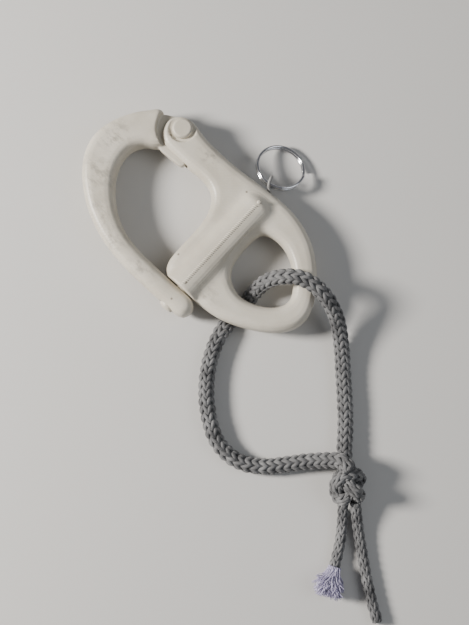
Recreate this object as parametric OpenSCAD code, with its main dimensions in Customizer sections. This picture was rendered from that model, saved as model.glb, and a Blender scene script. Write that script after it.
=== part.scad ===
// Snap shackle with a fixed eye: a bail hinged on the body and held shut by a sprung plunger,
// a split ring to pull the plunger back, and a loop of braided cord knotted through the eye.
// Millimetres. Z is up from the surface that the shackle lies on, X runs from the bail to the eye,
// and Y runs along the plunger. The origin is the middle of the flat under the barrel.

/* [Body] */
// Radius of the barrel that holds the plunger
barrel_r = 6.0; // [5.8:0.1:6.3]
// Thickness of the arm, web and eye
plate_t = 6.8; // [6.4:0.1:7.2]
// Rounding of the plate's edges
plate_round = 2.6; // [1.5:0.1:2.8]

/* [Bail] */
// Thickness of the bail
bail_t = 8.4; // [8:0.1:9]
// Rounding of the bail's edges
bail_round = 2.6; // [2:0.1:2.7]
// Thickness of the tongue that turns between the arm's two ears
tongue_t = 2.6; // [2:0.1:2.8]

/* [Hinge pin] */
// Radius of the hinge pin
pin_r = 1.8; // [1.5:0.1:2]
// Radius of the pin's head and of its cap
head_r = 3.0; // [2.6:0.1:3.2]
// Depth of the recess round the head
recess_depth = 0.9; // [0.5:0.1:1]

/* [Plunger] */
// Radius of the plunger
plunger_r = 2.4; // [2:0.1:2.5]
// Length of the plunger that stands out of the bail
tip_out = 0.9; // [0.5:0.1:1.5]
// Radial clearance of the plunger and of the hinge pin in their bores
running_gap = 0.06; // [0.03:0.01:0.1]
// Wire radius of the plunger's spring
spring_wire_r = 0.25; // [0.2:0.05:0.3]

/* [Split ring] */
// Wire radius of the split ring
ring_wire_r = 0.45; // [0.4:0.01:0.47]
// Radius of the split ring at the middle of its wire
ring_r = 7.1; // [6.5:0.05:7.1]

/* [Cord] */
// Radius of the cord in the loop
cord_r = 2.35; // [2:0.05:2.4]
// Radius of the emptied sheath in the two tails
tail_r = 1.6; // [1.4:0.1:1.7]
// Radius of the knot
knot_r = 6.0; // [5.5:0.1:6.2]

/* [Hidden] */
$fn = 64;

white = [0.86, 0.84, 0.79];
steel = [0.62, 0.63, 0.65];
grey = [0.42, 0.42, 0.43];
lilac = [0.62, 0.58, 0.74];

// The middle plane of the plate; the barrel is cut flat where it meets the surface.
barrel_flat = 0.1;
mid_z = barrel_r - barrel_flat;
plate_half = plate_t / 2;
bail_half = bail_t / 2;
edge_steps = 3;
outline_steps = 3;

hinge = [-31.8, 16.8];
shoulder_r = 7.8;
slot_end_x = -23.4;
slot_gap = 0.2;
recess_r = 4.1;
head_proud = 0.5;
cap_t = 1.2;
cap_well_r = head_r + 0.2;

barrel_low_y = -18.2;
barrel_high_y = 17.4;
barrel_nose = 2.4;
bore_end_y = 14.6;
string_bore_r = 1.15;
bore_r = plunger_r + running_gap;
bail_low_y = -24.8;
plunger_dome = 1.1;
plunger_top_y = -3;
stem_r = 0.95;
stem_end_y = 1.2;
stem_eye_y = -0.4;
stem_eye_r = 0.5;

spring_r = 2.12;
spring_turns = 9;
spring_sides = 6;
string_r = 0.35;
string_sides = 6;
ring_pitch = 1.0;
ring_turns = 1.95;
ring_tilt = 18.5;
ring_contact = [-2.4, 21.8];
cord_sides = 8;

// Outlines run clockwise as seen from above.
body_outline = [
    [-37, 16.5], [-35.7, 19], [-33.6, 20.4], [-31, 20.8], [-28, 20.3], [-24, 19.5], [-19, 19.2],
    [-13, 19.2], [-7, 19.6], [-1, 20.1], [5, 20.4], [10, 20], [15, 18.7], [20, 16.3], [25, 12.3],
    [29, 7.6], [31.6, 3], [32.5, -1], [31.7, -5], [29, -8.8], [25, -12], [20, -14.8], [15, -16.8],
    [9.5, -17.9], [4, -18.15], [-1, -18.15], [-5.4, -18.1], [-7.4, -16.6], [-8.5, -13.6],
    [-8.7, -8.5], [-8.7, -3.5], [-9, 1], [-10.1, 4.8], [-12.2, 7.8], [-15.2, 9.3], [-19, 9.7],
    [-24, 9.4], [-29, 9.5], [-33, 9.9], [-35.4, 11.6], [-36.6, 13.9]
];
eye_outline = [
    [5.7, 6.6], [6.5, 9.2], [8.7, 10.5], [11.7, 10.8], [15, 10.2], [18.5, 8.4], [21.8, 5.5],
    [24.3, 2.6], [25.2, -0.2], [24.2, -3.1], [21.5, -5.7], [18, -7.5], [14.3, -8.4], [10.8, -7.7],
    [8, -5.8], [6.3, -3], [5.7, 0.2], [5.6, 3.4]
];
bail_outline = [
    [-37.2, 16], [-36.2, 14], [-34.6, 12.6], [-32.4, 12], [-33.8, 8.2], [-37, 5.8], [-38.8, 2.6],
    [-38.9, -1.2], [-37.6, -5.2], [-35, -9], [-31.5, -12.4], [-27.5, -15.1], [-23, -17], [-18, -18],
    [-12, -18.4], [-6, -18.45], [0, -18.45], [3.4, -18.45], [5.7, -19.4], [6.65, -21.6],
    [5.7, -23.85], [3.4, -24.75], [0, -24.8], [-5, -24.8], [-12, -24.75], [-19, -24.3],
    [-25.5, -23.3], [-31, -21.6], [-36, -19.3], [-40.5, -16.3], [-44.5, -12.8], [-47.5, -9],
    [-49.4, -5], [-50, -1], [-49.5, 3], [-48, 7.2], [-45.9, 11.1], [-43.3, 14.4], [-40.6, 17.1]
];
tongue_outline = [
    [-42.4, 12.6], [-40.6, 15], [-39, 16.9], [-37.1, 18], [-34.6, 19.4], [-32, 20.4], [-29.4, 19.8],
    [-27.8, 17.8], [-26.8, 15], [-25.3, 12], [-24.4, 9.8], [-24.9, 8.5], [-27.5, 8.2],
    [-30.5, 8.15], [-33.1, 8.2], [-35.4, 9.3], [-37.8, 10.2], [-40.6, 10.4]
];

// Routes of the cord, from under the eye's lower side to the knot, and the knot's two tails.
under_route = [
    [16, -12.8, 1.15], [16, -15.4, 1.35], [16.2, -17.6, 1.9], [16.6, -20.2, 2.35],
    [17.8, -23.8, 2.35], [19.8, -28, 2.35], [22.8, -32.6, 2.35], [26.8, -37, 2.35],
    [31.6, -40.8, 2.35], [37, -43.5, 2.35], [42.5, -44, 2.35], [47.8, -42.4, 2.35],
    [52.5, -38.8, 2.4], [56.6, -34, 2.6], [60.4, -29.6, 3.4], [64, -26, 5.4], [67, -24, 7.8],
    [70, -24.8, 9.2]
];
over_route = [
    [16, -12.8, 1.15], [16, -9.8, 1.15], [15.9, -7, 1.6], [15.8, -4.2, 3.1], [16.1, -1.6, 5.5],
    [17.2, 0.9, 8.1], [19.3, 3.4, 10.4], [22.2, 5.7, 11.9], [25.8, 7.1, 12.3], [29.8, 7.5, 12],
    [34, 7.1, 10.2], [38.2, 5.7, 7.5], [42.2, 3.2, 5], [46.2, -0.2, 3.2], [50.2, -4.1, 2.45],
    [54.4, -8.3, 2.35], [58.4, -12.4, 2.35], [62, -16.6, 2.4], [65.6, -21, 2.7], [69.4, -25.4, 3.8]
];
knot_centre = [73, -28, knot_r];
long_route = [
    [77.2, -29.8, 4.8], [80, -32.2, 3.2], [83.5, -35.2, 2], [87.5, -38.4, 1.6], [92, -42, 1.6],
    [96.5, -45.4, 1.6], [100.4, -48.1, 1.6], [104, -50.4, 1.6]
];
short_route = [
    [75, -32.4, 3.4], [77.2, -34.8, 2.4], [79.8, -38.2, 1.7], [82.3, -42, 1.6], [84.2, -45.6, 1.8],
    [85.6, -48.6, 2.4]
];
fray_start = [84.9, -47, 3.7];
fray_turn = -66;
fray_len = 9.4;
fray_r = 3.6;

function unit(v) = v / norm(v);
function at(list, i) = list[(i + len(list)) % len(list)];
function held(list, i) = list[max(0, min(len(list) - 1, i))];

// A point of the curve that goes smoothly through p1 and p2, between p0 and p3.
function between(p0, p1, p2, p3, t) =
    0.5 * (2 * p1 + (p2 - p0) * t + (2 * p0 - 5 * p1 + 4 * p2 - p3) * t * t
    + (3 * p1 - p0 - 3 * p2 + p3) * t * t * t);

// A closed smooth outline through the listed points.
function closed_curve(list, steps) = [
    for (i = [0 : len(list) - 1], s = [0 : steps - 1])
        between(at(list, i - 1), list[i], at(list, i + 1), at(list, i + 2), s / steps)
];

// An open smooth route through the listed points, from the first to the last.
function open_curve(list, steps) = concat(
    [for (i = [0 : len(list) - 2], s = [0 : steps - 1])
        between(held(list, i - 1), list[i], list[i + 1], held(list, i + 2), s / steps)],
    [list[len(list) - 1]]
);

// A clockwise outline moved inwards by d.
function inset(list, d) = [
    for (i = [0 : len(list) - 1])
        let (along = unit(at(list, i + 1) - at(list, i - 1)))
        list[i] + d * [along.y, -along.x]
];

// An outline with every point that is nearer the hinge than r moved out to that distance.
function cleared(list, r) = [
    for (p = list)
        norm(p - hinge) < r ? hinge + r * unit(p - hinge) : p
];

function lifted(list, z) = [for (p = list) [p.x, p.y, z]];

// A closed skin over a stack of equal rings of points.
module skin(rings) {
    n = len(rings[0]);
    last = len(rings) - 1;
    sides = [
        for (k = [0 : last - 1], i = [0 : n - 1])
            [k * n + i, k * n + (i + 1) % n, (k + 1) * n + (i + 1) % n, (k + 1) * n + i]
    ];
    low_cap = [[for (i = [n - 1 : -1 : 0]) i]];
    high_cap = [[for (i = [0 : n - 1]) last * n + i]];
    polyhedron([for (ring = rings, p = ring) p], concat(sides, low_cap, high_cap));
}

// A plate of the given half thickness whose edges are rounded by r, centred on the plane z = 0,
// that keeps as far from the hinge as away says.
module rounded_plate(outline, half, r, away = 0) {
    low = [
        for (i = [0 : edge_steps])
            let (a = 90 * i / edge_steps)
            lifted(cleared(inset(outline, r * (1 - sin(a))), away), -half + r * (1 - cos(a)))
    ];
    high = [
        for (i = [edge_steps : -1 : 0])
            let (a = 90 * i / edge_steps)
            lifted(cleared(inset(outline, r * (1 - sin(a))), away), half - r * (1 - cos(a)))
    ];
    skin(concat(low, high));
}

// The cutter for a hole through such a plate, flared by r at both faces.
module rounded_hole(outline, half, r) {
    low = [
        for (i = [0 : edge_steps])
            let (a = 90 * i / edge_steps)
            lifted(inset(outline, -r * (1 - sin(a))), -half + r * (1 - cos(a)))
    ];
    high = [
        for (i = [edge_steps : -1 : 0])
            let (a = 90 * i / edge_steps)
            lifted(inset(outline, -r * (1 - sin(a))), half - r * (1 - cos(a)))
    ];
    flare = inset(outline, -r);
    skin(concat([lifted(flare, -half - 1)], low, high, [lifted(flare, half + 1)]));
}

// One ring of a tube round point i of a route. Where the route runs lower than the tube's radius,
// the tube is pressed flat against the surface and is wider to match. The route never runs along up.
function tube_ring(route, i, r, sides, up) =
    let (
        along = unit(held(route, i + 1) - held(route, i - 1)),
        across = unit(cross(up, along)),
        rise = cross(along, across),
        high = min(1, route[i].z / r),
        wide = 1.4 - 0.4 * high
    )
    [for (s = [0 : sides - 1])
        let (a = 360 * (s + 0.5) / sides)
        route[i] + r * (wide * cos(a) * across - high * sin(a) * rise)];

module tube(route, r, sides, up = [0, 0, 1]) {
    skin([for (i = [0 : len(route) - 1]) tube_ring(route, i, r, sides, up)]);
}

// A wire wound round the Z axis, raised well clear of z = 0 so that it keeps its round section.
module wound_wire(r, wire_r, pitch, turns, steps, sides) {
    clear_z = 10;
    route = [
        for (i = [0 : steps * turns])
            [r * cos(360 * i / steps), r * sin(360 * i / steps), clear_z + pitch * i / steps]
    ];
    translate([0, 0, -clear_z]) tube(route, wire_r, sides);
}

// A cylinder along +Y from y0 to y1 on the plunger's axis.
module along_y(r, y0, y1) {
    translate([0, y0, mid_z]) rotate([-90, 0, 0]) cylinder(r = r, h = y1 - y0);
}

module at_hinge(z) {
    translate([hinge.x, hinge.y, z]) children();
}

// The children joined into one closed skin of flat facets, at their own size.
module one_skin() {
    resize([0, 0, 0]) union() children();
}

module barrel() {
    along_y(barrel_r, barrel_low_y, barrel_high_y - barrel_nose);
    translate([0, barrel_high_y - barrel_nose, mid_z]) rotate([-90, 0, 0])
        cylinder(r1 = barrel_r, r2 = barrel_r - barrel_nose, h = barrel_nose, $fn = 96);
}

module ear_slot() {
    slot_low = bail_low_y;
    translate([-50, slot_low, mid_z - tongue_t / 2 - slot_gap])
        cube([50 + slot_end_x, 50, tongue_t + 2 * slot_gap]);
}

module shackle_body() {
    outer = closed_curve(body_outline, outline_steps);
    eye = closed_curve(eye_outline, outline_steps);
    color(white) difference() {
        one_skin() difference() {
            union() {
                translate([0, 0, mid_z]) rounded_plate(outer, plate_half, plate_round);
                barrel();
            }
            translate([0, 0, mid_z]) rounded_hole(eye, plate_half, plate_round);
            translate([-20, -40, -5]) cube([40, 80, 5]);
            ear_slot();
            at_hinge(mid_z + plate_half - recess_depth) cylinder(r = recess_r, h = 5);
            at_hinge(mid_z - plate_half + recess_depth - 5) cylinder(r = cap_well_r, h = 5);
        }
        along_y(bore_r, barrel_low_y - 1, bore_end_y);
        along_y(string_bore_r, bore_end_y - 1, barrel_high_y + 5);
        at_hinge(0) cylinder(r = pin_r + running_gap, h = 3 * mid_z);
    }
}

module bail() {
    bow = closed_curve(bail_outline, outline_steps);
    tongue = closed_curve(tongue_outline, outline_steps);
    color(white) difference() {
        one_skin() {
            translate([0, 0, mid_z]) rounded_plate(bow, bail_half, bail_round, shoulder_r);
            translate([0, 0, mid_z - tongue_t / 2]) linear_extrude(tongue_t) polygon(tongue);
        }
        at_hinge(0) cylinder(r = pin_r + running_gap, h = 3 * mid_z);
        along_y(bore_r, bail_low_y - 1, barrel_low_y);
    }
}

module hinge_pin() {
    seat_z = mid_z + plate_half - recess_depth;
    head_h = recess_depth + head_proud;
    edge = 0.5;
    end_z = mid_z - plate_half + recess_depth - cap_t;
    color(white) {
        at_hinge(0) rotate_extrude() polygon([
            [0, end_z], [pin_r - 0.2, end_z], [pin_r, end_z + 0.2], [pin_r, seat_z], [head_r, seat_z],
            [head_r, seat_z + head_h - edge], [head_r - edge, seat_z + head_h], [0, seat_z + head_h]
        ]);
    }
}

module hinge_pin_cap() {
    color(white) at_hinge(mid_z - plate_half + recess_depth - cap_t) difference() {
        cylinder(r = head_r, h = cap_t);
        translate([0, 0, -1]) cylinder(r = pin_r, h = cap_t + 2);
    }
}

module plunger() {
    tip_y = bail_low_y - tip_out;
    color(white) difference() {
        translate([0, 0, mid_z]) rotate([-90, 0, 0]) rotate_extrude() polygon([
            [0, tip_y], [plunger_r * 0.5, tip_y + 0.1], [plunger_r * 0.85, tip_y + 0.45],
            [plunger_r, tip_y + plunger_dome], [plunger_r, plunger_top_y], [stem_r, plunger_top_y],
            [stem_r, stem_end_y - 0.4], [stem_r - 0.4, stem_end_y], [0, stem_end_y]
        ]);
        translate([0, stem_eye_y, mid_z - 5]) cylinder(r = stem_eye_r, h = 10);
    }
}

module plunger_spring() {
    free_len = bore_end_y - plunger_top_y - 2 * spring_wire_r;
    color(steel) translate([0, plunger_top_y + spring_wire_r, mid_z]) rotate([-90, 0, 0])
        wound_wire(spring_r, spring_wire_r, free_len / spring_turns, spring_turns, 12, spring_sides);
}

// One doubled strand from the plunger's eye up the bore and round the ring's wire.
module pull_string() {
    top = ring_contact.y;
    lean = ring_contact.x;
    color(grey) tube([for (p = open_curve([
        [0, stem_eye_y, mid_z + 0.1], [0, stem_eye_y + 0.2, mid_z + 1.35], [0, 3, mid_z + 1.1],
        [0, 8, mid_z + 0.55], [0, 17, mid_z + 0.52], [-0.1, 20.1, mid_z + 0.5],
        [lean * 0.55, top - 1.05, mid_z + 1.4], [lean * 0.92, top, mid_z + 1.95],
        [lean * 1.2, top + 1.6, mid_z + 1.45], [lean * 1.33, top + 2.6, mid_z],
        [lean * 1.2, top + 1.6, mid_z - 1.45], [lean * 0.92, top, mid_z - 1.95],
        [lean * 0.55, top - 1.05, mid_z - 1.4], [-0.1, 20.1, mid_z - 0.5], [0, 17, mid_z - 0.52],
        [0, 8, mid_z - 0.55], [0, 3, mid_z - 1.1], [0, stem_eye_y + 0.2, mid_z - 1.35],
        [0, stem_eye_y, mid_z - 0.1]
    ], 2)) p], string_r, string_sides, [1, 0, 0]);
}

module split_ring() {
    color(steel) translate([ring_contact.x - 1, ring_contact.y, mid_z]) rotate([-ring_tilt, 0, 0])
        translate([0, ring_r, -ring_pitch * ring_turns / 2]) rotate([0, 0, 40])
            wound_wire(ring_r, ring_wire_r, ring_pitch, ring_turns, 28, 8);
}

module cord_under() {
    color(grey) tube(open_curve(under_route, 1), cord_r, cord_sides);
}

module cord_over() {
    color(grey) tube(open_curve(over_route, 1), cord_r, cord_sides);
}

module cord_knot() {
    color(grey) translate(knot_centre) sphere(r = knot_r);
}

module cord_tail_long() {
    color(grey) tube(open_curve(long_route, 1), tail_r, cord_sides);
}

module cord_tail_short() {
    color(grey) tube(open_curve(short_route, 1), tail_r, cord_sides);
}

module cord_fray() {
    color(lilac) translate(fray_start) rotate([0, 0, fray_turn]) rotate([0, 90, 0])
        rotate_extrude() polygon([
            [0, 0], [fray_r * 0.5, fray_len * 0.1], [fray_r * 0.8, fray_len * 0.3],
            [fray_r, fray_len * 0.6], [fray_r * 0.85, fray_len * 0.85], [fray_r * 0.5, fray_len],
            [0, fray_len]
        ]);
}

shackle_body();
bail();
hinge_pin();
hinge_pin_cap();
plunger();
plunger_spring();
pull_string();
split_ring();
cord_under();
cord_over();
cord_knot();
cord_tail_long();
cord_tail_short();
cord_fray();
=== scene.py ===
"""Snap shackle: a hinged bail, a sprung plunger on a split ring, and a knotted loop of cord.

Sizes and routes are in millimetres, in the CAD's frame, unless a line says otherwise.
"""

import bpy
import math
import numpy as np
from mathutils import Matrix, Vector


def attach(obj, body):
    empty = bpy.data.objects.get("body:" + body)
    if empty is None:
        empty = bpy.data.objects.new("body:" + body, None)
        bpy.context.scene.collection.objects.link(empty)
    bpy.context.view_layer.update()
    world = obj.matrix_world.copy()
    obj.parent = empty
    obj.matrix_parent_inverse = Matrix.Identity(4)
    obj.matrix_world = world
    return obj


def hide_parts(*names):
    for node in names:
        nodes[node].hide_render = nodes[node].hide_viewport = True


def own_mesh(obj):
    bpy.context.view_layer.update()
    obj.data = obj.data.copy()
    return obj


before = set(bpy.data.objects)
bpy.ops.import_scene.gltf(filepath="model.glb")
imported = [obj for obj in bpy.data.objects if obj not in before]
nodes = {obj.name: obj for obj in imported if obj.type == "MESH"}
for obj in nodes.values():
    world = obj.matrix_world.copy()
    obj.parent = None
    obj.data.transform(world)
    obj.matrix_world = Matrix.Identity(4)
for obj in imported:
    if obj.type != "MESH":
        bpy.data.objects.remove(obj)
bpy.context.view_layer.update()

MM = 0.001
SEED = 7

# Driving sizes, as in the CAD.
MID_Z = 5.9
LOWEST_Z = 0.02
CORD_R = 2.35
TAIL_R = 1.6
KNOT_R = 6.0
KNOT_CENTRE = (73, -28, 6.0)
STRING_R = 0.35
RING_R = 7.1
RING_WIRE_R = 0.45
RING_PITCH = 1.0
RING_TURNS = 1.95
RING_TILT = 18.5
RING_START_TURN = 40
RING_CONTACT = (-2.4, 21.8)
RING_SHIFT = 1
SPRING_R = 2.12
SPRING_WIRE_R = 0.25
SPRING_TURNS = 9
SPRING_START_Y = -2.75
SPRING_END_Y = 14.35
STEM_EYE_Y = -0.4
FRAY_START = (84.9, -47, 3.7)
FRAY_TURN = -66
FRAY_LEN = 9.4
FRAY_R = 3.6
FRAY_FIBRES = 1300

# The braids: strands each way, and the length of cord from one strand to the next.
STRANDS = 10
CORD_PICK = 2.3
TAIL_PICK = 2.5
KNOT_PICK = 2.2
KNOT_CORD_R = 2.1
KNOT_TILT = 38

# How finely the CAD's solids are remeshed, and by how many passes they are then relaxed.
BODY_VOXEL, BODY_PASSES, CREASE_PASSES = 0.29, 7, 110
BAIL_VOXEL, BAIL_PASSES = 0.24, 14
SMALL_VOXEL, PIN_PASSES, CAP_PASSES, PLUNGER_PASSES = 0.12, 5, 4, 5

# Camera and lights, in metres, degrees and watts, apart from the camera's aim in millimetres.
CAMERA_AIM = (15.75, -12.86, MID_Z)
CAMERA_SIDE = (0.672, -0.740, 0)
CAMERA_TILT = 8
CAMERA_DISTANCE = 0.3
CAMERA_LENS = 59.96
FLOOR_SIZE = 4
LIGHT_AIM = (0.015, -0.012, 0.0)
LIGHTS = [
    ("key", (-0.40, -0.34, 0.34), 0.16, 8.5, (1, 0.96, 0.91)),
    ("fill", (0.42, 0.30, 0.55), 0.5, 1.3, (0.92, 0.96, 1)),
]
WORLD_COLOUR = (0.9, 0.93, 1, 1)
WORLD_STRENGTH = 0.16

# Routes of the cord, from under the eye to the knot, and of the knot's two tails.
UNDER_ROUTE = [
    (16, -12.8, 1.15), (16, -15.4, 1.35), (16.2, -17.6, 1.9), (16.6, -20.2, 2.35),
    (17.8, -23.8, 2.35), (19.8, -28, 2.35), (22.8, -32.6, 2.35), (26.8, -37, 2.35),
    (31.6, -40.8, 2.35), (37, -43.5, 2.35), (42.5, -44, 2.35), (47.8, -42.4, 2.35),
    (52.5, -38.8, 2.4), (56.6, -34, 2.6), (60.4, -29.6, 3.4), (64, -26, 5.4), (67, -24, 7.8),
    (70, -24.8, 9.2),
]
OVER_ROUTE = [
    (16, -12.8, 1.15), (16, -9.8, 1.15), (15.9, -7, 1.6), (15.8, -4.2, 3.1), (16.1, -1.6, 5.5),
    (17.2, 0.9, 8.1), (19.3, 3.4, 10.4), (22.2, 5.7, 11.9), (25.8, 7.1, 12.3), (29.8, 7.5, 12),
    (34, 7.1, 10.2), (38.2, 5.7, 7.5), (42.2, 3.2, 5), (46.2, -0.2, 3.2), (50.2, -4.1, 2.45),
    (54.4, -8.3, 2.35), (58.4, -12.4, 2.35), (62, -16.6, 2.4), (65.6, -21, 2.7), (69.4, -25.4, 3.8),
]
LONG_ROUTE = [
    (77.2, -29.8, 4.8), (80, -32.2, 3.2), (83.5, -35.2, 2), (87.5, -38.4, 1.6), (92, -42, 1.6),
    (96.5, -45.4, 1.6), (100.4, -48.1, 1.6), (104, -50.4, 1.6),
]
SHORT_ROUTE = [
    (75, -32.4, 3.4), (77.2, -34.8, 2.4), (79.8, -38.2, 1.7), (82.3, -42, 1.6), (84.2, -45.6, 1.8),
    (85.6, -48.6, 2.4),
]


# ---------- camera and light ----------

def make_camera():
    """Looks almost straight down: the bail at the upper left, the cord at the lower right."""
    near_side = Vector(CAMERA_SIDE).normalized()
    tilt = math.radians(CAMERA_TILT)
    back = near_side * math.sin(tilt) + Vector((0, 0, 1)) * math.cos(tilt)
    right = near_side.cross(Vector((0, 0, 1))) * -1
    up = back.cross(right)
    place = Vector(CAMERA_AIM) * MM + back * CAMERA_DISTANCE
    data = bpy.data.cameras.new("camera")
    data.lens = CAMERA_LENS
    data.clip_start = 0.01
    camera = bpy.data.objects.new("camera", data)
    camera.matrix_world = (
        Matrix.Translation(place) @ Matrix((right, up, back)).transposed().to_4x4()
    )
    bpy.context.scene.collection.objects.link(camera)
    bpy.context.scene.camera = camera


def area_light(name, place, size, watts, colour):
    """A round soft light of the given size, turned to the object."""
    data = bpy.data.lights.new(name, "AREA")
    data.shape = "DISK"
    data.size = size
    data.energy = watts
    data.color = colour
    light = bpy.data.objects.new(name, data)
    light.location = place
    away = Vector(place) - Vector(LIGHT_AIM)
    light.rotation_euler = away.to_track_quat("Z", "Y").to_euler()
    bpy.context.scene.collection.objects.link(light)


def make_stage():
    """A plain pale floor and soft studio light whose main side is the viewer's left."""
    bpy.ops.mesh.primitive_plane_add(size=FLOOR_SIZE, location=(0, 0, 0))
    floor = bpy.context.object
    floor.name = "floor"
    floor.data.materials.append(floor_material())
    for light in LIGHTS:
        area_light(*light)
    world = bpy.data.worlds.new("world")
    world.use_nodes = True
    background = world.node_tree.nodes["Background"]
    background.inputs["Color"].default_value = WORLD_COLOUR
    background.inputs["Strength"].default_value = WORLD_STRENGTH
    bpy.context.scene.world = world


# ---------- materials ----------

MIX_FIRST, MIX_SECOND, MIX_RESULT = 6, 7, 2  # The colour sockets of a Mix node


class Shader:
    """A node material built step by step around one Principled shader."""

    def __init__(self, name, colour, roughness, metallic=0.0):
        self.material = bpy.data.materials.new(name)
        self.material.use_nodes = True
        self.tree = self.material.node_tree
        self.main = self.tree.nodes["Principled BSDF"]
        self.main.inputs["Base Color"].default_value = (*colour, 1)
        self.main.inputs["Roughness"].default_value = roughness
        self.main.inputs["Metallic"].default_value = metallic
        self.last_bump = None

    def node(self, kind, inputs=(), **settings):
        """A node with its inputs linked to sockets or set to values."""
        made = self.tree.nodes.new(kind)
        for key, value in settings.items():
            setattr(made, key, value)
        for key, value in dict(inputs).items():
            if isinstance(value, bpy.types.NodeSocket):
                self.tree.links.new(value, made.inputs[key])
            else:
                made.inputs[key].default_value = value
        return made

    def place(self, scale=(1, 1, 1), turn=(0, 0, 0), source="Object"):
        """Coordinates on the piece, scaled and turned."""
        coords = self.node("ShaderNodeTexCoord").outputs[source]
        inputs = {"Vector": coords, "Scale": scale, "Rotation": turn}
        return self.node("ShaderNodeMapping", inputs).outputs["Vector"]

    def noise(self, vector, scale, detail=4.0, rough=0.55):
        """Cloudy variation from 0 to 1."""
        inputs = {"Vector": vector, "Scale": scale, "Detail": detail, "Roughness": rough}
        return self.node("ShaderNodeTexNoise", inputs).outputs["Fac"]

    def wave(self, vector, direction, **inputs):
        """Parallel bands that rise and fall along one direction."""
        inputs = {"Vector": vector, **{k.replace("_", " "): v for k, v in inputs.items()}}
        made = self.node("ShaderNodeTexWave", inputs, bands_direction=direction)
        return made.outputs["Fac"]

    def maths(self, operation, first, second):
        """Two sockets or values put together by a Math node."""
        return self.node("ShaderNodeMath", {0: first, 1: second}, operation=operation).outputs[0]

    def ramp(self, factor, stops):
        """Colours by the factor, from pairs of a position and a colour."""
        made = self.node("ShaderNodeValToRGB", {"Fac": factor})
        band = made.color_ramp
        while len(band.elements) < len(stops):
            band.elements.new(0.5)
        for element, (where, colour) in zip(band.elements, stops):
            element.position = where
            element.color = (*colour, 1)
        return made.outputs["Color"]

    def mix(self, factor, first, second):
        """The first colour, a socket, going over to the second, a plain colour."""
        made = self.node("ShaderNodeMix", data_type="RGBA")
        self.tree.links.new(factor, made.inputs["Factor"])
        self.tree.links.new(first, made.inputs[MIX_FIRST])
        made.inputs[MIX_SECOND].default_value = (*second, 1)
        return made.outputs[MIX_RESULT]

    def spots(self, places, core):
        """Round spots on the plan: 1 within the share core of each radius, 0 beyond the radius."""
        total = None
        flat = self.place((1, 1, 0))
        for x, y, radius in places:
            centre = (x * MM, y * MM, 0)
            away = self.node("ShaderNodeVectorMath", {0: flat, 1: centre}, operation="DISTANCE")
            near = self.node("ShaderNodeMapRange", {
                "Value": away.outputs["Value"], "From Min": radius * MM,
                "From Max": radius * core * MM, "To Min": 0.0, "To Max": 1.0,
            }).outputs["Result"]
            total = near if total is None else self.maths("MAXIMUM", total, near)
        return total

    def colour(self, socket):
        self.tree.links.new(socket, self.main.inputs["Base Color"])

    def roughness(self, factor, low, high):
        """Roughness from low to high as the factor goes from 0 to 1."""
        made = self.node("ShaderNodeMapRange", {"Value": factor, "To Min": low, "To Max": high})
        self.tree.links.new(made.outputs["Result"], self.main.inputs["Roughness"])

    def bump(self, height, strength, distance):
        """Adds relief on top of the relief so far; distance is in metres."""
        inputs = {"Height": height, "Strength": strength, "Distance": distance}
        if self.last_bump is not None:
            inputs["Normal"] = self.last_bump
        self.last_bump = self.node("ShaderNodeBump", inputs).outputs["Normal"]
        self.tree.links.new(self.last_bump, self.main.inputs["Normal"])


# Places on the plan: small pit marks, each painted dark inside as painted shade, and grime with its
# radius.
PITS = [(0.4, -16.3), (-7.3, -11.5), (-5, 15.2), (0.2, -22.4), (-33, 13.2)]
PIT_R = 0.42
GRIME = [
    (-41, -11, 9), (-33, -19, 7), (-24, -21, 6), (-12, -22, 6), (-45, 2, 7), (6, -15, 5),
    (-20, 16, 5),
]


def printed_material():
    """White printed plastic with level layer lines, diagonal fill, grime, and small pit marks
    painted dark inside as painted shade.
    """
    s = Shader("printed_plastic", (0.66, 0.62, 0.54), 0.4)
    s.main.inputs["Subsurface Weight"].default_value = 0.05
    s.main.inputs["Subsurface Radius"].default_value = (0.004, 0.003, 0.002)
    s.main.inputs["Subsurface Scale"].default_value = 0.3
    broad = s.noise(s.place(), 60, 5)
    tone = s.ramp(broad, [
        (0.3, (0.50, 0.455, 0.375)), (0.5, (0.60, 0.555, 0.465)), (0.72, (0.68, 0.635, 0.545)),
    ])
    specks = s.noise(s.place((1, 1.6, 1)), 330, 6, 0.72)
    smudge = s.ramp(specks, [(0.46, (0, 0, 0)), (0.62, (1, 1, 1))])
    dirty = s.spots(GRIME, 0.25)
    tone = s.mix(s.maths("MULTIPLY", smudge, dirty), tone, (0.40, 0.37, 0.31))
    pits_and_painted_shade = s.spots([(x, y, PIT_R) for x, y in PITS], 0.45)
    # Painted shade: each pit is painted dark brown inside, standing in for the shade in its hollow;
    # the bump further down presses it in.
    tone = s.mix(pits_and_painted_shade, tone, (0.22, 0.19, 0.15))
    s.colour(tone)
    s.roughness(broad, 0.3, 0.5)
    layers = s.wave(s.place(), "Z", Scale=780.0, Distortion=0.5, Detail=1.0, Detail_Scale=0.4)
    diagonal = s.place(turn=(0, 0, math.radians(45)))
    fill = s.wave(diagonal, "X", Scale=400.0, Distortion=0.4)
    s.bump(layers, 0.3, 0.00006)
    s.bump(fill, 0.25, 0.00005)
    s.bump(s.noise(s.place(), 900, 4, 0.65), 0.35, 0.00012)
    s.bump(pits_and_painted_shade, -1.0, 0.0006)
    return s.material


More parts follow.
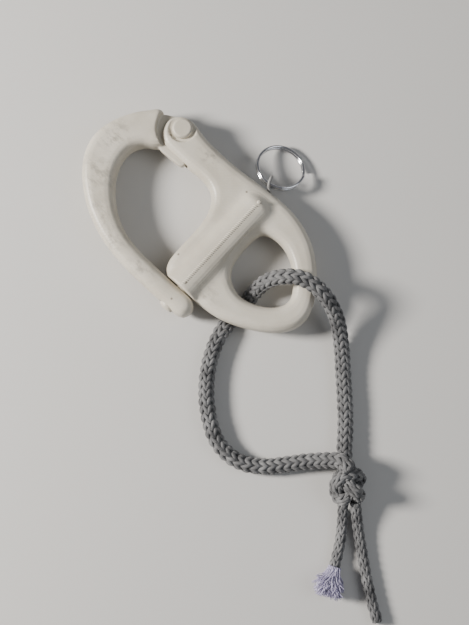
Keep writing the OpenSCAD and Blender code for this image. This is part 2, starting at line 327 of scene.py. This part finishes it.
def cord_material(name, light, dark):
    """Yarn whose fibres run along each strand, with light and dark patches."""
    s = Shader(name, light, 0.62)
    s.main.inputs["Sheen Weight"].default_value = 0.35
    s.main.inputs["Sheen Roughness"].default_value = 0.4
    fibres = s.noise(s.place((34, 2.2, 1), source="UV"), 6, 5, 0.65)
    patches = s.noise(s.place(), 240, 3)
    half = s.maths("MULTIPLY", s.maths("ADD", fibres, patches), 0.5)
    mid = tuple((a + b) / 2 for a, b in zip(light, dark))
    s.colour(s.ramp(half, [(0.36, dark), (0.5, mid), (0.64, light)]))
    s.bump(fibres, 0.7, 0.00012)
    return s.material


def steel_material(name, colour, roughness):
    """Drawn wire with fine scratches."""
    s = Shader(name, colour, roughness, 1.0)
    scratches = s.noise(s.place((1, 1, 6)), 900, 2)
    s.roughness(scratches, roughness * 0.7, roughness * 1.5)
    s.bump(scratches, 0.08, 0.00003)
    return s.material


def floor_material():
    """Plain, pale and dull."""
    s = Shader("floor", (0.62, 0.61, 0.59), 0.8)
    s.bump(s.noise(s.place(), 500, 2), 0.05, 0.0002)
    return s.material


# ---------- shared mesh work ----------

def new_piece(name, points, faces, material, body, uvs=None):
    """A smooth-shaded mesh piece from points and faces, with an optional UV for every point."""
    mesh = bpy.data.meshes.new(name)
    mesh.from_pydata((np.asarray(points) * MM).tolist(), [], [list(f) for f in faces])
    mesh.polygons.foreach_set("use_smooth", [True] * len(mesh.polygons))
    if uvs is not None:
        layer = mesh.uv_layers.new(name="UVMap")
        corners = np.zeros(len(mesh.loops), np.int32)
        mesh.loops.foreach_get("vertex_index", corners)
        layer.data.foreach_set("uv", np.asarray(uvs, np.float32)[corners].ravel())
    mesh.materials.append(material)
    mesh.update()
    piece = bpy.data.objects.new(name, mesh)
    bpy.context.scene.collection.objects.link(piece)
    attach(piece, body)
    return piece


def distance_along(path):
    """How far along the path each of its points is."""
    return np.concatenate([[0], np.cumsum(np.linalg.norm(np.diff(path, axis=0), axis=1))])


def curve_through(points, step):
    """An even row of points, about step apart, on the smooth curve through the listed points."""
    p = np.asarray(points, float)
    last = len(p) - 1
    dense = []
    for i in range(last):
        a, b, c, d = (p[min(max(i + k, 0), last)] for k in (-1, 0, 1, 2))
        for t in np.linspace(0, 1, 24, endpoint=False):
            dense.append(
                0.5 * (2 * b + (c - a) * t + (2 * a - 5 * b + 4 * c - d) * t ** 2
                       + (3 * b - a - 3 * c + d) * t ** 3)
            )
    dense.append(p[last])
    dense = np.array(dense)
    along = distance_along(dense)
    count = max(8, int(along[-1] / step))
    at = np.linspace(0, along[-1], count + 1)
    return np.stack([np.interp(at, along, dense[:, k]) for k in range(3)], 1)


def tipped(points, degrees):
    """The points turned about the X axis."""
    angle = math.radians(degrees)
    turned = points.copy()
    turned[:, 1] = points[:, 1] * math.cos(angle) - points[:, 2] * math.sin(angle)
    turned[:, 2] = points[:, 1] * math.sin(angle) + points[:, 2] * math.cos(angle)
    return turned


def unit_rows(v):
    """Each row at length 1."""
    return v / np.maximum(np.linalg.norm(v, axis=1, keepdims=True), 1e-9)


def turned_frames(path):
    """Side and rise directions for every point of a path, carried along it without twist."""
    along = unit_rows(np.gradient(path, axis=0))
    start = np.array([0, 0, 1.0])
    if abs(along[0] @ start) > 0.9:
        start = np.array([1.0, 0, 0])
    rise = [start - along[0] * (along[0] @ start)]
    for t in along[1:]:
        rise.append(rise[-1] - t * (rise[-1] @ t))
        rise[-1] = rise[-1] / np.linalg.norm(rise[-1])
    rise = unit_rows(np.array(rise))
    return np.cross(rise, along), rise


def tube_faces(rows, columns):
    """Quads over a tube of rows rings with columns points each, and a face over either end."""
    faces = []
    for a in range(0, (rows - 1) * columns, columns):
        for c in range(columns):
            d = (c + 1) % columns
            faces.append((a + c, a + d, a + columns + d, a + columns + c))
    last = (rows - 1) * columns
    faces.append(tuple(range(columns))[::-1])
    faces.append(tuple(last + c for c in range(columns)))
    return faces


def joined(parts):
    """Several meshes as one; each part is its points, its faces and a UV for each point."""
    faces = []
    count = 0
    for points, part_faces, _ in parts:
        faces += [tuple(i + count for i in face) for face in part_faces]
        count += len(points)
    return np.concatenate([p[0] for p in parts]), faces, np.concatenate([p[2] for p in parts])


def swept(path, across, rise, width, height, sides):
    """A tube of an oval section round a path: its points, faces and a UV for each point."""
    turn = 2 * np.pi * np.arange(sides) / sides
    points = (
        path[:, None]
        + across[:, None] * (width[:, None, None] * np.cos(turn)[None, :, None])
        + rise[:, None] * (height[:, None, None] * np.sin(turn)[None, :, None])
    ).reshape(-1, 3)
    u = np.tile(np.arange(sides) / sides, len(path))
    v = np.repeat(distance_along(path) / 10, sides)
    return points, tube_faces(len(path), sides), np.stack([u, v], 1)


def round_wire(path, r, sides):
    """A tube of a round section round a path."""
    size = np.full(len(path), r)
    return swept(path, *turned_frames(path), size, size, sides)


def pressed(path, r):
    """How wide and how high the cord is along a path: it flattens where it runs under the eye."""
    high = np.minimum(1, path[:, 2] / r)
    return 1.4 - 0.4 * high, high


def braid(path, r, pick, flatten=True):
    """A hollow braid round a path: strands wind both ways, each over two and under the next two.

    flatten presses it down where the path runs lower than the cord's radius over the floor.
    """
    rng = np.random.default_rng(SEED)
    across, rise = turned_frames(path)
    wide, high = pressed(path, r) if flatten else (np.ones(len(path)), np.ones(len(path)))
    lead = pick * STRANDS
    spin = 2 * np.pi * distance_along(path) / lead
    mean_r = 0.70 * r
    wave = 0.15 * r
    thick = 0.155 * r
    core = 0.62 * r
    unevenness = 0.012 * r
    slope = math.atan2(2 * np.pi * mean_r, lead)
    half_width = 0.52 * pick * math.sin(slope)
    parts = []
    for way in (1, -1):
        for k in range(STRANDS):
            angle = 2 * np.pi * k / STRANDS + way * spin
            float_up = way * np.cos(STRANDS / 2 * angle)
            lift = mean_r + wave * float_up + rng.normal(0, unevenness)
            out = across * (wide * np.cos(angle))[:, None] + rise * (high * np.sin(angle))[:, None]
            centre = path + out * lift[:, None]
            along = unit_rows(np.gradient(centre, axis=0))
            side = unit_rows(np.cross(along, unit_rows(out)))
            normal = np.cross(side, along)
            plump = 1 + 0.16 * float_up
            points, faces, uvs = swept(
                centre, side, normal, half_width * plump, thick * high * plump, 8
            )
            # Each strand reads its own part of the fibre pattern.
            parts.append((points, faces, uvs + [k * 0.37, k * 0.61 + way * 0.29]))
    parts.append(swept(path, across, rise, core * wide, core * high, 10))
    points, faces, uvs = joined(parts)
    if flatten:
        points[:, 2] = np.maximum(points[:, 2], LOWEST_Z)
    return points, faces, uvs


def modified(piece, kind, **settings):
    """The piece's mesh with one modifier applied to it."""
    modifier = piece.modifiers.new(kind.lower(), kind)
    for key, value in settings.items():
        setattr(modifier, key, value)
    ready = piece.evaluated_get(bpy.context.evaluated_depsgraph_get())
    mesh = bpy.data.meshes.new_from_object(ready)
    piece.modifiers.clear()
    piece.data = mesh


def smooth_copy(name, node, material, body, voxel, passes, crease=None, crease_passes=0):
    """A CAD node's shape with its facets rounded away: remeshed finely, then relaxed.

    crease gives each point a weight from 0 to 1: the more, the further it is relaxed first.
    """
    piece = bpy.data.objects.new(name, nodes[node].data.copy())
    bpy.context.scene.collection.objects.link(piece)
    modified(piece, "REMESH", mode="VOXEL", voxel_size=voxel * MM, use_smooth_shade=True)
    if crease is not None:
        points = np.zeros(3 * len(piece.data.vertices), np.float32)
        piece.data.vertices.foreach_get("co", points)
        weights = crease(points.reshape(-1, 3) / MM)
        group = piece.vertex_groups.new(name="crease")
        for step in range(1, 11):
            chosen = np.nonzero(np.round(weights * 10) == step)[0]
            if len(chosen):
                group.add(chosen.tolist(), step / 10, "REPLACE")
        modified(piece, "SMOOTH", factor=0.5, iterations=crease_passes, vertex_group="crease")
        piece.vertex_groups.clear()
    modified(piece, "SMOOTH", factor=0.5, iterations=passes)
    mesh = piece.data
    mesh.materials.clear()
    mesh.materials.append(material)
    mesh.polygons.foreach_set("use_smooth", [True] * len(mesh.polygons))
    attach(piece, body)
    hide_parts(node)


def faded(distance, full, none):
    """One up to the distance full, falling to 0 at none."""
    return np.clip((none - distance) / (none - full), 0, 1)


def barrel_creases(p):
    """Where the barrel runs into the plate, on both faces and round its upper end."""
    joint_x, end_half, foot_y, end_y, clear = 5.0, 3.5, -17.6, 16.4, 2.0
    off_middle = np.abs(p[:, 0])
    beside = (p[:, 1] < end_y) * (p[:, 1] > foot_y)
    flank = faded(np.abs(off_middle - joint_x), 1.2, 3.6) * beside
    end = faded(np.hypot(np.maximum(off_middle - end_half, 0), p[:, 1] - end_y), 1.4, 2.8)
    return np.maximum(flank, end) * (np.abs(p[:, 2] - MID_Z) > clear)


# ---------- the pieces ----------

def make_shackle(plastic):
    """The printed parts and the plunger, all of the same plastic."""
    smooth_copy(
        "body_shell", "shackle_body", plastic, "frame", BODY_VOXEL, BODY_PASSES,
        barrel_creases, CREASE_PASSES,
    )
    smooth_copy("bail_shell", "bail", plastic, "bail", BAIL_VOXEL, BAIL_PASSES)
    for name, node, body, passes in (
        ("hinge_pin_round", "hinge_pin", "frame", PIN_PASSES),
        ("hinge_cap_round", "hinge_pin_cap", "frame", CAP_PASSES),
        ("plunger_round", "plunger", "plunger", PLUNGER_PASSES),
    ):
        smooth_copy(name, node, plastic, body, SMALL_VOXEL, passes)


def make_seam(plastic):
    """The strip of short slanted ridges along the top of the barrel, with a nub at its end."""
    crest = 2 * MID_Z + 0.1
    half, slant = 0.6, 0.34
    width = np.array([0.15, 0.19, 0.15])
    height = np.full(3, 0.13)
    parts = []
    for y in np.arange(-17.0, 13.6, 0.62):
        path = np.array([
            (-half, y - slant, crest - 0.1), (0, y, crest + 0.04), (half, y + slant, crest - 0.08)
        ])
        parts.append(swept(path, *turned_frames(path), width, height, 6))
    nub_r, nub_rise, nub_y, levels, sides = 0.62, 0.34, 14.9, 6, 14
    nub = np.array([
        (r * math.cos(a), nub_y + r * math.sin(a), crest - 0.12 + nub_rise * math.sin(level))
        for level in np.linspace(0, np.pi / 2, levels)
        for r in [max(nub_r * math.cos(level), 0.02)]
        for a in 2 * np.pi * np.arange(sides) / sides
    ])
    parts.append((nub, tube_faces(levels, sides), np.zeros((len(nub), 2))))
    points, faces, _ = joined(parts)
    new_piece("barrel_seam", points, faces, plastic, "frame")


def make_ring(steel):
    """The two turns of the split ring, with more sides to the wire than the CAD's."""
    turn = np.linspace(0, 2 * np.pi * RING_TURNS, int(110 * RING_TURNS) + 1)
    rise = RING_PITCH * turn / (2 * np.pi) - RING_PITCH * RING_TURNS / 2
    start = math.radians(RING_START_TURN)
    flat = np.stack(
        [RING_R * np.cos(turn + start), RING_R * np.sin(turn + start) + RING_R, rise], 1
    )
    path = tipped(flat, -RING_TILT)
    path += np.array([RING_CONTACT[0] - RING_SHIFT, RING_CONTACT[1], MID_Z])
    points, faces, uvs = round_wire(path, RING_WIRE_R, 16)
    ring = new_piece("split_ring_wire", points, faces, steel, "ring", uvs)
    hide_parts("split_ring")


def make_spring(steel):
    """The plunger's spring, laid as a fixed helix on the frame; it does not close up here as the
    plunger is drawn back.
    """
    turn = np.linspace(0, 2 * np.pi * SPRING_TURNS, 40 * SPRING_TURNS + 1)
    path = np.stack([
        SPRING_R * np.cos(turn),
        np.linspace(SPRING_START_Y, SPRING_END_Y, len(turn)),
        MID_Z + SPRING_R * np.sin(turn),
    ], 1)
    points, faces, uvs = round_wire(path, SPRING_WIRE_R, 8)
    spring = new_piece("spring_coils", points, faces, steel, "frame", uvs)
    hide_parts("plunger_spring")
    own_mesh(spring)


def twisted(path, r, plies, lay):
    """A thread of several plies laid round each other, one turn in each length of lay."""
    across, rise = turned_frames(path)
    length = distance_along(path)
    parts = []
    for k in range(plies):
        angle = 2 * np.pi * (length / lay + k / plies)
        centre = path + 0.5 * r * (across * np.cos(angle)[:, None] + rise * np.sin(angle)[:, None])
        points, faces, uvs = round_wire(centre, 0.55 * r, 6)
        parts.append((points, faces, uvs + [0.3 * k, 0.7 * k]))
    return joined(parts)


def make_string(thread):
    """The doubled string from the plunger's eye, up the bore and round the ring's wire."""
    lean, top = RING_CONTACT
    half = [
        (0, STEM_EYE_Y, 0.1), (0, STEM_EYE_Y + 0.2, 1.35), (0, 3, 1.1), (0, 8, 0.55), (0, 17, 0.52),
        (-0.1, 20.1, 0.5), (lean * 0.55, top - 1.05, 1.4), (lean * 0.92, top, 1.95),
        (lean * 1.2, top + 1.6, 1.45), (lean * 1.33, top + 2.6, 0),
    ]
    route = half + [(x, y, -z) for x, y, z in half[-2::-1]]
    path = curve_through([(x, y, z + MID_Z) for x, y, z in route], 0.16)
    points, faces, uvs = twisted(path, STRING_R, plies=3, lay=1.5)
    string = new_piece("pull_string_thread", points, faces, thread, "plunger", uvs)
    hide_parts("pull_string")


def knot_path():
    """A closed turn of cord that crosses itself three times."""
    t = np.linspace(0, 2 * np.pi, 400)
    size, depth = 1.42, 2.07
    reach = size * (2 + np.cos(3 * t))
    turn = np.stack(
        [reach * np.cos(2 * t), reach * np.sin(2 * t), depth * size * np.sin(3 * t)], 1
    )
    return tipped(turn, KNOT_TILT)


def make_knot(cord):
    """The knot, brought to the size of the CAD's ball and stood at the same height."""
    points, faces, uvs = braid(knot_path(), KNOT_CORD_R, KNOT_PICK, flatten=False)
    low, high = points.min(0), points.max(0)
    fit = 2 * KNOT_R / (high - low).max()
    points = (points - (low + high) / 2) * fit
    points = points + np.array(KNOT_CENTRE) + [0, 0, -points[:, 2].min() - KNOT_R]
    knot = new_piece("knot_turns", points, faces, cord, "frame", uvs)
    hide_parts("cord_knot")
    return knot


def make_fray(melt):
    """The short tail's end: a thick brush of loose fibres in two lobes."""
    rng = np.random.default_rng(SEED)
    turn = math.radians(FRAY_TURN)
    ahead = np.array([math.cos(turn), math.sin(turn), 0])
    side = np.array([-math.sin(turn), math.cos(turn), 0])
    up = np.array([0, 0, 1.0])
    s = np.linspace(0, 1, 11)
    parts = []
    for _ in range(FRAY_FIBRES):
        lobe = rng.choice((-0.5, 0.42))
        spread = rng.normal((lobe, 0), (0.30, 0.36))
        reach = FRAY_LEN * rng.uniform(0.5, 0.97)
        root = rng.normal(0, 0.55, 2)
        flare = FRAY_R * np.clip(spread, -0.9, 0.9)[:, None] * s ** 1.1
        sway = rng.normal(0, 0.5, 2)[:, None]
        curl = sway * np.sin(s * rng.uniform(4, 9) + rng.uniform(0, 6)) * s
        lateral = root[:, None] + flare + curl
        ahead_by = reach * (s - 0.16 * s ** 4 * rng.uniform(0, 1.5))
        path = (
            np.array(FRAY_START)
            + np.outer(ahead_by, ahead)
            + np.outer(lateral[0], side)
            + np.outer(lateral[1], up)
        )
        path[:, 2] = np.clip(path[:, 2], 0.2, 7.2)
        parts.append(round_wire(path, rng.uniform(0.08, 0.15), 4))
    points, faces, uvs = joined(parts)
    brush = new_piece("fray_fibres", points, faces, melt, "frame", uvs)
    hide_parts("cord_fray")
    return brush


def braided_piece(name, route, r, pick, cord, node):
    """A braid along a route, in place of a CAD node, and the path that it follows."""
    path = curve_through(route, 0.28)
    points, faces, uvs = braid(path, r, pick)
    piece = new_piece(name, points, faces, cord, "frame", uvs)
    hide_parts(node)
    return piece, path


def make_rope(cord, melt):
    """The loop through the eye in two halves that meet under it, the knot, and its two tails."""
    under, under_path = braided_piece(
        "loop_under", UNDER_ROUTE, CORD_R, CORD_PICK, cord, "cord_under"
    )
    over, over_path = braided_piece(
        "loop_over", OVER_ROUTE, CORD_R, CORD_PICK, cord, "cord_over"
    )
    long_tail, long_path = braided_piece(
        "tail_long", LONG_ROUTE, TAIL_R, TAIL_PICK, cord, "cord_tail_long"
    )
    short_tail, _ = braided_piece(
        "tail_short", SHORT_ROUTE, TAIL_R, TAIL_PICK, cord, "cord_tail_short"
    )
    knot = make_knot(cord)
    brush = make_fray(melt)


make_camera()
plastic = printed_material()
cord_yarn = cord_material("cord_yarn", light=(0.25, 0.25, 0.252), dark=(0.03, 0.03, 0.033))
melted = cord_material("cord_melt", light=(0.66, 0.62, 0.80), dark=(0.30, 0.27, 0.44))
thread = cord_material("thread", light=(0.55, 0.54, 0.52), dark=(0.18, 0.17, 0.16))
make_rope(cord_yarn, melted)
make_stage()
make_shackle(plastic)
make_seam(plastic)
make_ring(steel_material("ring_steel", (0.72, 0.72, 0.74), 0.14))
make_string(thread)
make_spring(steel_material("spring_steel", (0.6, 0.6, 0.62), 0.3))
